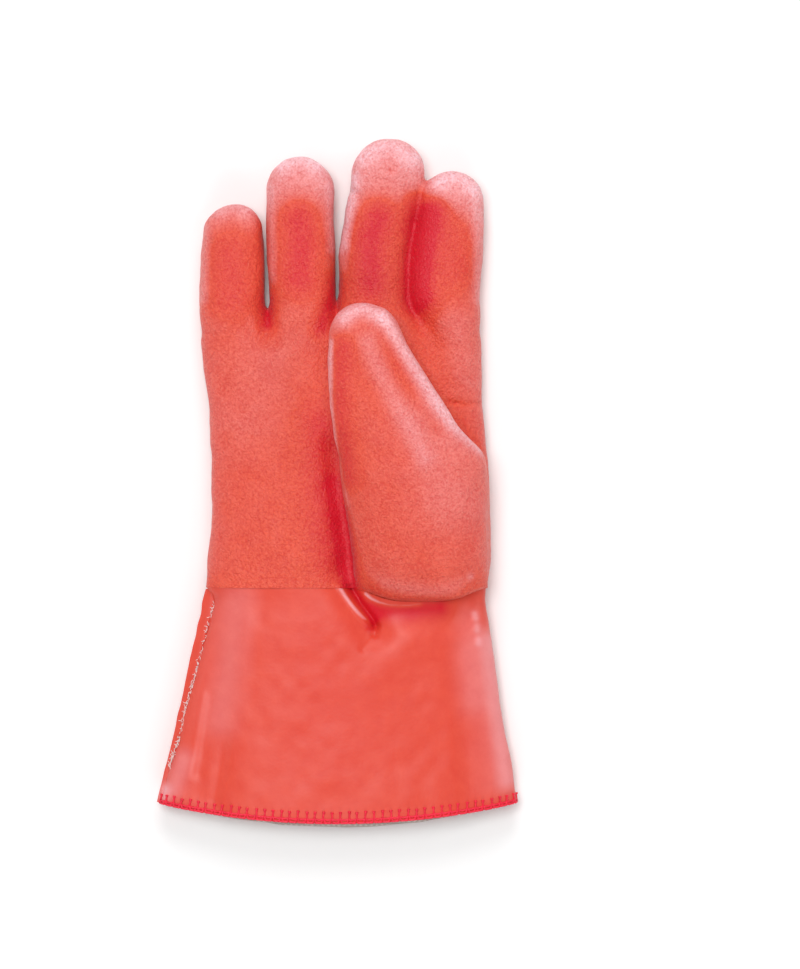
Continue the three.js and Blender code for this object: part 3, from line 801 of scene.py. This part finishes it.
def finish_material(material, inputs):
    """The material with its shader, which takes the inputs, and its output."""
    shader = add(material.node_tree, "ShaderNodeBsdfPrincipled", inputs)
    add(material.node_tree, "ShaderNodeOutputMaterial", {"Surface": (shader, "BSDF")})
    return material


def per_metre(size_mm):
    """A texture's scale for features of that many millimetres, on Object coordinates in metres."""
    return 1 / (size_mm * MM)


def noise(tree, at, size_mm, **inputs):
    """Noise with features of that many millimetres."""
    inputs = {**at, "Scale": per_metre(size_mm), **inputs}
    return add(tree, "ShaderNodeTexNoise", inputs), "Fac"


def bands(tree, at, size_mm, direction, **inputs):
    """A wave whose bands are that many millimetres apart."""
    inputs = {**at, "Scale": per_metre(size_mm) / 20 * np.pi, **inputs}
    return add(tree, "ShaderNodeTexWave", inputs, bands_direction=direction), "Fac"


def math(tree, operation, *values):
    """The result of one operation on its values in order."""
    return add(tree, "ShaderNodeMath", dict(enumerate(values)), operation=operation), "Value"


def spread(tree, value, low, high):
    """A value from low to high as a share from 0 to 1."""
    reach = {"Value": value, "From Min": low, "From Max": high}
    return add(tree, "ShaderNodeMapRange", reach), "Result"


def blended(tree, share, first, second):
    """Two colours mixed by a share."""
    inputs = {"Factor": share, "A": (*first, 1), "B": (*second, 1)}
    return add(tree, "ShaderNodeMix", inputs, data_type="RGBA"), "Result"


def darker(colour, share):
    """A colour with that share of its light."""
    return [share * v for v in colour]


def bump(tree, height, strength, distance):
    """The normals of a relief."""
    inputs = {"Height": height, "Strength": strength, "Distance": distance}
    return add(tree, "ShaderNodeBump", inputs), "Normal"


def with_painted_light(tree, look, colour, height, broken):
    """A coat's colour with painted light on it: the painted highlight colour where the attribute is above 0 and
    the painted shade colour where it is below. The grain breaks it up: its tops take the painted highlight
    first and its pits the painted shade."""
    tone = add(tree, "ShaderNodeAttribute", attribute_name="tone"), "Fac"
    grain = math(tree, "ADD", height, -0.42)
    speckle = math(tree, "MULTIPLY", grain, math(tree, "ABSOLUTE", tone))
    uneven = math(tree, "MULTIPLY_ADD", speckle, broken, tone)
    # Painted highlight and painted shade are mixed into the coat's colour here
    for end, shade in ((1.0, look.painted_highlight_colour), (-1.0, look.painted_shade_colour)):
        # A colour mix keeps its colour sockets at places 6 and 7
        inputs = {0: spread(tree, uneven, 0.0, end), 6: colour, 7: (*shade, 1)}
        colour = add(tree, "ShaderNodeMix", inputs, data_type="RGBA"), "Result"
    return colour


def rough_dipped_pvc(look):
    """Plasticised PVC, dipped and crumpled before it gels: matt, with grit of about a millimetre and a waxy
    sheen."""
    material, tree, at = start_material("rough_dipped_pvc")
    crumple = noise(tree, at, CRUMPLE_SIZE, Detail=3.0, Distortion=0.8)
    grit = add(tree, "ShaderNodeTexVoronoi", {**at, "Scale": per_metre(GRIT_SIZE)}, feature="F1")
    height = math(tree, "MULTIPLY_ADD", (grit, "Distance"), -0.4, crumple)
    mottle = math(tree, "MULTIPLY_ADD", noise(tree, at, PATCH_SIZE, Detail=2.0), 0.35, height)
    colour = blended(tree, spread(tree, mottle, 0.25, 0.65), look.coat_deep, look.coat_colour)
    inputs = {
        # The base colour carries the painted highlight and painted shade
        "Base Color": with_painted_light(tree, look, colour, height, 1.3),
        "Normal": bump(tree, height, 1.0, look.grit_height),
        "Roughness": 0.48,
        "Specular IOR Level": 0.4,
        "Sheen Weight": 0.12,
        "Sheen Roughness": 0.35,
        "Sheen Tint": (1.0, 0.86, 0.88, 1.0),
    }
    return finish_material(material, {**inputs, **PVC_BODY})


def smooth_dipped_pvc(look):
    """The same PVC left to flow out smooth over the cuff: semi-gloss, with slow waves and a few pinholes."""
    material, tree, at = start_material("smooth_dipped_pvc")
    waves = noise(tree, at, FLOW_SIZE, Detail=3.0, Roughness=0.55)
    height = math(tree, "MULTIPLY_ADD", noise(tree, at, PINHOLE_SIZE, Detail=2.0), 0.32, waves)
    colour = blended(tree, spread(tree, height, 0.25, 0.95), look.cuff_deep, look.cuff_colour)
    inputs = {
        # The base colour carries the painted highlight and painted shade
        "Base Color": with_painted_light(tree, look, colour, height, 0.3),
        "Normal": bump(tree, height, 0.5, look.flow_height),
        "Roughness": 0.4,
        "Specular IOR Level": 0.3,
    }
    return finish_material(material, {**inputs, **PVC_BODY})


def cotton_jersey(look):
    """Single jersey of cotton, as coarse as a work glove's lining is knitted: rows of small loops across the
    glove, soft and without gloss."""
    material, tree, at = start_material("cotton_jersey")
    wale = bands(tree, at, WALE_SIZE, "X", Distortion=0.6, Detail=1.0)
    course = bands(tree, at, COURSE_SIZE, "Y", Distortion=1.2, Detail=1.0)
    loops = math(tree, "MULTIPLY", wale, course)
    inputs = {
        "Base Color": blended(tree, loops, darker(look.lining_colour, 0.72), look.lining_colour),
        "Normal": bump(tree, loops, 0.7, 0.0004),
        "Roughness": 0.95,
        "Sheen Weight": 0.35,
        "Sheen Roughness": 0.6,
    }
    return finish_material(material, inputs)


def spun_thread(name, colour, rough):
    """Spun thread or fibre: three twisted plies of fine staple, a soft broken gloss."""
    material, tree, at = start_material(name)
    slubs = noise(tree, at, SLUB_SIZE)
    inputs = {
        "Base Color": blended(tree, slubs, darker(colour, 0.7), colour),
        "Normal": bump(tree, bands(tree, at, PLY_SIZE, "DIAGONAL"), 0.6, 0.00012),
        "Roughness": rough,
    }
    return finish_material(material, inputs)


def matt_backdrop(colour):
    """A matt paper backdrop, nearly white, with only a faint unevenness."""
    material, tree, at = start_material("matt_backdrop_paper")
    cloudy = noise(tree, at, CLOUD_SIZE, Detail=2.0)
    paper = blended(tree, cloudy, darker(colour, 0.985), colour)
    inputs = {"Base Color": paper, "Roughness": 0.9, "Specular IOR Level": 0.1}
    return finish_material(material, inputs)


# What a user would change


class GloveCoat(bpy.types.PropertyGroup):
    """The dipped coat's colours, its painted highlight and painted shade colours, and its relief."""

    coat_colour: FloatVectorProperty(
        name="Coat colour", description="Colour of the rough coat", subtype="COLOR", default=linear("#e4553c")
    )
    coat_deep: FloatVectorProperty(
        name="Coat, deep", description="Colour between the grit", subtype="COLOR", default=linear("#d43d2c")
    )
    cuff_colour: FloatVectorProperty(
        name="Cuff colour", description="Colour of the smooth coat", subtype="COLOR", default=linear("#dd4c38")
    )
    cuff_deep: FloatVectorProperty(
        name="Cuff, deep", description="Colour where it is thick", subtype="COLOR", default=linear("#d54030")
    )
    # The colour of the painted highlight, put where the painted light is above 0
    painted_highlight_colour: FloatVectorProperty(
        name="Thin coat", description="Colour where it is thin", subtype="COLOR", default=linear("#f8c4cc")
    )
    # The colour of the painted shade, put where the painted light is below 0
    painted_shade_colour: FloatVectorProperty(
        name="Thick coat", description="Colour where it is thick", subtype="COLOR", default=linear("#d00f27")
    )
    grit_height: FloatProperty(
        name="Grit", description="Height of the coat's grit", default=0.58 * MM, min=0, max=0.002, unit="LENGTH"
    )
    flow_height: FloatProperty(
        name="Flow", description="Height of the smooth coat's waves", default=0.18 * MM, min=0, unit="LENGTH"
    )
    crumple: FloatProperty(
        name="Crumple", description="Height of the hand's soft dents", default=0.5 * MM, min=0, unit="LENGTH"
    )
    grain_step: FloatProperty(
        name="Mesh step", description="Spacing of the hand's mesh", default=1.03 * MM, min=0.0006, unit="LENGTH"
    )


class GloveTrim(bpy.types.PropertyGroup):
    """The lining, the hem's thread and the fuzz along the side seam."""

    lining_colour: FloatVectorProperty(
        name="Lining colour", description="Colour of the jersey", subtype="COLOR", default=linear("#f0e2da")
    )
    thread_colour: FloatVectorProperty(
        name="Thread colour", description="Colour of the thread", subtype="COLOR", default=linear("#fa1a3e")
    )
    fuzz_colour: FloatVectorProperty(
        name="Fuzz colour", description="Colour of the fibres", subtype="COLOR", default=linear("#ffe4e0")
    )
    stitch_pitch: FloatProperty(
        name="Stitch pitch", description="Spacing of the stitches", default=3.8 * MM, min=0.002, unit="LENGTH"
    )
    stitch_height: FloatProperty(
        name="Stitch height", description="Reach above the hem", default=4.4 * MM, min=0, unit="LENGTH"
    )
    thread_width: FloatProperty(
        name="Thread", description="Thickness of the hem's thread", default=0.6 * MM, min=0.0002, unit="LENGTH"
    )
    fuzz_count: IntProperty(
        name="Fuzz", description="Number of loose fibres along the side seam", default=280, min=0, max=900
    )


class GLOVE_OT_hand_shell(bpy.types.Operator):
    """The dipped hand, from its field of distances, hollow, with its coat's edge cut along a curve."""

    bl_idname = "glove.hand_shell"
    bl_label = "Hand shell"

    def execute(self, context):
        look = context.scene.glove_coat
        step = look.grain_step / MM
        corner, far_corner = np.array([-HALF_PALM - 9, -11.5, -3.5]), (70, 206, 54)
        x, y, z = np.ogrid[tuple(slice(a, b, step) for a, b in zip(corner, far_corner))]
        field = hand_field(x, y, z, step)
        near = np.abs(field) < 3
        places = [v[near] for v in np.broadcast_arrays(x, y, z)]
        soft = sum(share * rumple(*places, size, seed) for share, size, seed in HAND_DENTS)
        outer = field.copy()
        outer[near] += look.crumple / MM * soft * smoothstep(places[2], 0.5, 6)
        coat, jersey = rough_dipped_pvc(look), cotton_jersey(context.scene.glove_trim)
        hand = build_mesh("dipped_hand", *volume_mesh(outer, corner, step), [coat, jersey])
        lip = LAP_LIP + (HAND_WALL - LAP_LIP) * smoothstep(y, LAP_LENGTH, LAP_LENGTH + 2.5)
        hollow = (field + lip)[::2, ::2, ::2]
        inside = build_mesh("hollow", *volume_mesh(hollow, corner, 2 * step), [coat, jersey], 1)
        cut_with(hand, inside)
        cut_with(hand, build_mesh("edge", *edge_cutter(40.0), [coat]))
        hand.data.set_sharp_from_angle(angle=SHARP_EDGE)
        points = points_of(hand)
        x, y, z = points.T
        # Painted highlight and painted shade strokes on the hand and on the thumb
        on_thumb = smoothstep(z, 31, 35)
        tone = marks_depth(x, y, HAND_PAINTED_LIGHT) * (1 - on_thumb)
        tone = tone + marks_depth(x, y, THUMB_PAINTED_LIGHT) * on_thumb
        # A painted highlight on bulging places such as tips, and painted shade in narrow creases
        shape = bulge(outer, points, corner, step, 4.5) * smoothstep(y, 0, 12)
        paint_light_and_shade(hand, np.clip(tone * smoothstep(z, 5, 14) + 0.24 * shape, -1, 1))
        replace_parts(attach(hand, "root"), "hand_shell")
        return {"FINISHED"}


def cuff_stations(count):
    """Stations of the cuff from its hem towards the hand, closer together at the wrist."""
    return -STEP_FADE / 2 + (STEP_FADE / 2 - CUFF_LENGTH) * np.linspace(1, 0, count) ** 1.25


class GLOVE_OT_gauntlet_cuff(bpy.types.Operator):
    """The smooth gauntlet: a sleeve of closed rings with a rounded hem, a tongue in the hand, its side seam."""

    bl_idname = "glove.gauntlet_cuff"
    bl_label = "Gauntlet cuff"

    def execute(self, context):
        material = smooth_dipped_pvc(context.scene.glove_coat)
        around = CUFF_AROUND
        # The rounded hem: height above its end, and depth under the skin
        hem = ((0.45, 0), (0.12, 0.12), (0, 0.4), (0, 1), (0.12, CUFF_WALL - 0.12), (0.45, CUFF_WALL))
        stations = [*cuff_stations(120)[1:], *np.linspace(-7.4, -0.05, 14)]
        skin = cuff_rings(stations, 0, around, cuff_relief)
        tongue = LAP_LIP + GAP
        lap = palm_rings([-0.05, 1.5, 5.0, LAP_LENGTH - GAP], tongue, around)
        lap += palm_rings([LAP_LENGTH, 5.0, 0.0], tongue + CUFF_WALL, around)
        inner = cuff_rings(cuff_stations(22)[:0:-1], CUFF_WALL, around)
        edge = [cuff_rings([-CUFF_LENGTH + up], inset, around)[0] for up, inset in hem]
        rings = np.stack([*skin, *lap, *inner, *edge[::-1]])
        faces = grid_faces(rings.shape[0], around, True, True)
        cuff = build_mesh("smooth_gauntlet", rings.reshape(-1, 3), faces, [material])
        cut_with(cuff, build_mesh("seam", *seam_allowance(), [material]), "UNION")
        cuff.data.set_sharp_from_angle(angle=SHARP_EDGE)
        x, y, z = points_of(cuff).T
        # Painted highlight and painted shade strokes on the cuff's upper side
        paint_light_and_shade(cuff, np.clip(marks_depth(x, y, CUFF_PAINTED_LIGHT) * smoothstep(z, 5, 14), -1, 1))
        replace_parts(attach(cuff, "root"), "gauntlet_cuff")
        return {"FINISHED"}


def seam_allowance():
    """The flat bar along the cuff's side: a rounded profile carried along the widest place, a little uneven."""
    y = np.linspace(-CUFF_LENGTH + 0.2, -0.6, 150)
    left, right, low, high, seam = cuff_section(y)
    waist = low + (high - low) * WAIST
    turn = np.linspace(0, 2 * np.pi, 20, endpoint=False)
    wide, tall = bent(np.cos(turn), 0.6), bent(np.sin(turn), 0.8)
    root = left + coat_step(y) + CUFF_WALL / 2
    tip = left - seam * (0.9 + 0.1 * rumple(y, 0 * y, 0 * y, 5, 8))
    x = (root + tip)[:, None] / 2 + (root - tip)[:, None] / 2 * wide
    thick = SEAM_THICKNESS / 2 * (0.75 + 0.15 * rumple(y, 0 * y, 0 * y, 9, 9))
    z = waist[:, None] + thick[:, None] * tall * (1.3 + wide)
    points = drape(np.stack([x, np.broadcast_to(y[:, None], x.shape), z], axis=-1))
    rows, columns = points.shape[:2]
    faces = grid_faces(rows, columns, False, True).tolist()
    faces.append(list(range(columns)))
    faces.append(list(range((rows - 1) * columns, rows * columns))[::-1])
    return points.reshape(-1, 3), faces


class GLOVE_OT_cuff_lining(bpy.types.Operator):
    """The jersey sleeve inside the cuff, a plain knit tube with a raw edge at the hem."""

    bl_idname = "glove.cuff_lining"
    bl_label = "Cuff lining"

    def execute(self, context):
        around, outset = LINING_AROUND, CUFF_WALL + GAP
        outer = cuff_rings(cuff_stations(60), outset, around)
        inner = cuff_rings(cuff_stations(60)[::-1], outset + LINING_WALL, around)
        rings = np.stack([*outer, *inner])
        # The lower half of its raw edge has slipped out under the hem
        x, y, z = np.moveaxis(rings, -1, 0)
        slip = np.exp(-(((x + 4) / 52) ** 4)) * (0.85 + 0.35 * rumple(x, 0 * x, 0 * x, 7, 6))
        slip = (slip + 0.5 * np.exp(-(((x - 4) / 16) ** 2))) * (1 - upper_share(z))
        rings[..., 1] -= 1.6 * slip * smoothstep(-y, CUFF_LENGTH - 8, CUFF_LENGTH)
        faces = grid_faces(rings.shape[0], around, True, True)
        jersey = cotton_jersey(context.scene.glove_trim)
        lining = build_mesh("jersey_lining", rings.reshape(-1, 3), faces, [jersey])
        lining.data.set_sharp_from_angle(angle=SHARP_EDGE)
        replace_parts(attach(lining, "root"), "cuff_lining")
        return {"FINISHED"}


class GLOVE_OT_hem_stitching(bpy.types.Operator):
    """The hem's overlock: for each stitch a needle thread up the cuff and two legs that spread to the edge."""

    bl_idname = "glove.hem_stitching"
    bl_label = "Hem stitching"

    def execute(self, context):
        trim = context.scene.glove_trim
        around, ups = HEM_AROUND, np.linspace(0, HEM_REACH, HEM_ROWS)
        skin = np.stack(cuff_rings(-CUFF_LENGTH + ups, 0, around))
        out = np.cross(np.gradient(skin, axis=1), np.gradient(skin, axis=0))
        out /= np.linalg.norm(out, axis=-1, keepdims=True)
        middle = skin.mean(axis=1, keepdims=True)
        out *= np.sign(np.sum(out * (skin - middle), axis=-1, keepdims=True))
        girth = np.linalg.norm(np.roll(skin[0], -1, axis=0) - skin[0], axis=-1).sum()
        count = round(girth / (trim.stitch_pitch / MM))
        half = trim.thread_width / MM / 2

        def threads(kind, share, up, proud):
            """Threads of one kind along lines on the cuff. Each point is at a share of the way round, a height
            above the hem, and that many half threads proud of the skin."""
            share, up, proud = np.broadcast_arrays(share, up, half * proud)
            column = share % 1 * around
            row = np.clip(up / HEM_REACH * (HEM_ROWS - 1), 0, HEM_ROWS - 1.001)
            whole = [np.floor(v).astype(int) for v in (row, column)]
            part = [(v - w)[..., None] for v, w in zip((row, column), whole)]
            place = sampled(skin, whole, part) + sampled(out, whole, part) * proud[..., None]
            # The thread under the glove lies on the floor
            place[..., 2] = np.maximum(place[..., 2], 2.2 * half)
            return thread_tubes(place, half * HEM_THREADS[kind])

        chance = np.random.default_rng(11)
        share = (np.arange(count) + chance.uniform(-0.07, 0.07, count))[:, None] / count
        top = trim.stitch_height / MM
        t = np.linspace(0, 1, 9)[None, :]
        lean = chance.uniform(-0.08, 0.08, (count, 1)) / count
        top = top + chance.uniform(-0.25, 0.25, (count, 1))
        long = trim.stitch_height / MM - 1.5
        parts = [
            threads("needle", share + lean * t, top - t * long, 0.9 - 0.2 * t),
            threads("knot", share, top + 0.2 - 0.9 * t, 1.2),
        ]
        for side in (-1, 1):
            foot = share + side * (0.04 + 0.24 * t**1.2) / count
            parts.append(threads("leg", foot, 1.9 - t * 1.75, 0.8 - 0.3 * t))
        parts.append(threads("looper", share + t / count, 1.5 + 0.15 * np.cos(2 * np.pi * t), 0.7))
        parts.append(threads("lower", share + t / count, 0.25, 0.5))
        thread = spun_thread("spun_polyester_thread", trim.thread_colour, 0.5)
        stitching = build_mesh("hem_overlock", *joined(parts), [thread])
        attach(stitching, "root")
        return {"FINISHED"}


class GLOVE_OT_seam_fuzz(bpy.types.Operator):
    """Loose fibres of the lining along the side seam: short curved strands that leave the allowance's edge."""

    bl_idname = "glove.seam_fuzz"
    bl_label = "Seam fuzz"

    def execute(self, context):
        trim = context.scene.glove_trim
        chance = np.random.default_rng(21)
        count = trim.fuzz_count
        along = chance.uniform(0, 1, count) ** 0.9
        line = np.array(FUZZ_LINE)
        x, y = (np.interp(along, np.linspace(0, 1, len(line)), line[:, i]) for i in (0, 1))
        left, right, low, high, seam = cuff_section(y)
        rest = low + (high - low) * WAIST + SEAM_THICKNESS
        aside = chance.normal(0, 0.32, count)
        start = np.stack([x + aside, y, rest + chance.uniform(0, 0.5, count)], axis=-1)
        angle = chance.normal(0, 0.7, count) - np.pi * 0.58 + np.pi * chance.integers(0, 2, count)
        length = chance.uniform(0.4, 1.6, count)
        turned = np.cos(angle), np.sin(angle)
        heading = np.stack([*turned, chance.uniform(-0.1, 0.3, count)], axis=-1)
        curl = np.stack([-turned[1], turned[0], chance.uniform(-0.3, 0.3, count)], axis=-1)
        curl *= chance.uniform(-0.6, 0.6, (count, 1))
        t = np.linspace(0, 1, 7)[None, :, None]
        bend = heading[:, None] * t + curl[:, None] * t**2
        lines = start[:, None] + length[:, None, None] * bend
        fibre = spun_thread("loose_cotton_fibre", trim.fuzz_colour, 0.9)
        fuzz = build_mesh("seam_fuzz", *thread_tubes(drape(lines), 0.13, 4), [fibre])
        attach(fuzz, "root")
        return {"FINISHED"}


class GLOVE_OT_stage(bpy.types.Operator):
    """The pale floor, the soft studio light and the camera straight above."""

    bl_idname = "glove.stage"
    bl_label = "Stage"

    def execute(self, context):
        scene = context.scene
        corners = FLOOR_REACH * np.array([[-1, -1, 0], [1, -1, 0], [1, 1, 0], [-1, 1, 0]])
        corners[:, 2] = -FLOOR_DROP
        floor = placed("floor", bpy.data.meshes.new("floor"))
        floor.data.from_pydata(corners, [], [(0, 1, 2, 3)])
        floor.data.materials.append(matt_backdrop(linear("#f8f8f8")))
        for name, place, size, power in LAMPS:
            light = bpy.data.lights.new(name, "AREA")
            light.size = size
            light.energy = power
            lamp = placed(name, light)
            lamp.location = place
            lamp.rotation_euler = (-Vector(place)).to_track_quat("-Z", "Y").to_euler()
        world = bpy.data.worlds.new("studio")
        world.use_nodes = True
        sky = world.node_tree.nodes["Background"]
        sky.inputs["Color"].default_value = (1, 1, 1, 1)
        sky.inputs["Strength"].default_value = WORLD_LIGHT
        scene.world = world
        scene.view_settings.view_transform = "Standard"
        camera = placed("camera", bpy.data.cameras.new("camera"))
        camera.location = CAMERA_PLACE
        camera.data.lens = camera.data.sensor_width * VIEW_DISTANCE / VIEW_HEIGHT
        camera.data.clip_end = 20
        scene.camera = camera
        return {"FINISHED"}


STEPS = (
    GLOVE_OT_hand_shell,
    GLOVE_OT_gauntlet_cuff,
    GLOVE_OT_cuff_lining,
    GLOVE_OT_hem_stitching,
    GLOVE_OT_seam_fuzz,
    GLOVE_OT_stage,
)


class GLOVE_PT_panel(bpy.types.Panel):
    """Lists the glove's pieces in the sidebar, with the sizes and colours that they read."""

    bl_idname = "GLOVE_PT_panel"
    bl_label = "PVC Coated Work Glove"
    bl_space_type = "VIEW_3D"
    bl_region_type = "UI"
    bl_category = "Glove"

    def draw(self, context):
        for group in (context.scene.glove_coat, context.scene.glove_trim):
            for name in group.__annotations__:
                self.layout.prop(group, name)
        for step in STEPS:
            self.layout.operator(step.bl_idname)


CLASSES = (GloveCoat, GloveTrim, *STEPS, GLOVE_PT_panel)


def register():
    for kind in CLASSES:
        bpy.utils.register_class(kind)
    bpy.types.Scene.glove_coat = PointerProperty(type=GloveCoat)
    bpy.types.Scene.glove_trim = PointerProperty(type=GloveTrim)


def unregister():
    del bpy.types.Scene.glove_trim
    del bpy.types.Scene.glove_coat
    for kind in reversed(CLASSES):
        bpy.utils.unregister_class(kind)


def main():
    register()
    bpy.ops.glove.hand_shell()
    bpy.ops.glove.gauntlet_cuff()
    bpy.ops.glove.cuff_lining()
    bpy.ops.glove.hem_stitching()
    bpy.ops.glove.seam_fuzz()
    bpy.ops.glove.stage()


if __name__ == "__main__":
    main()
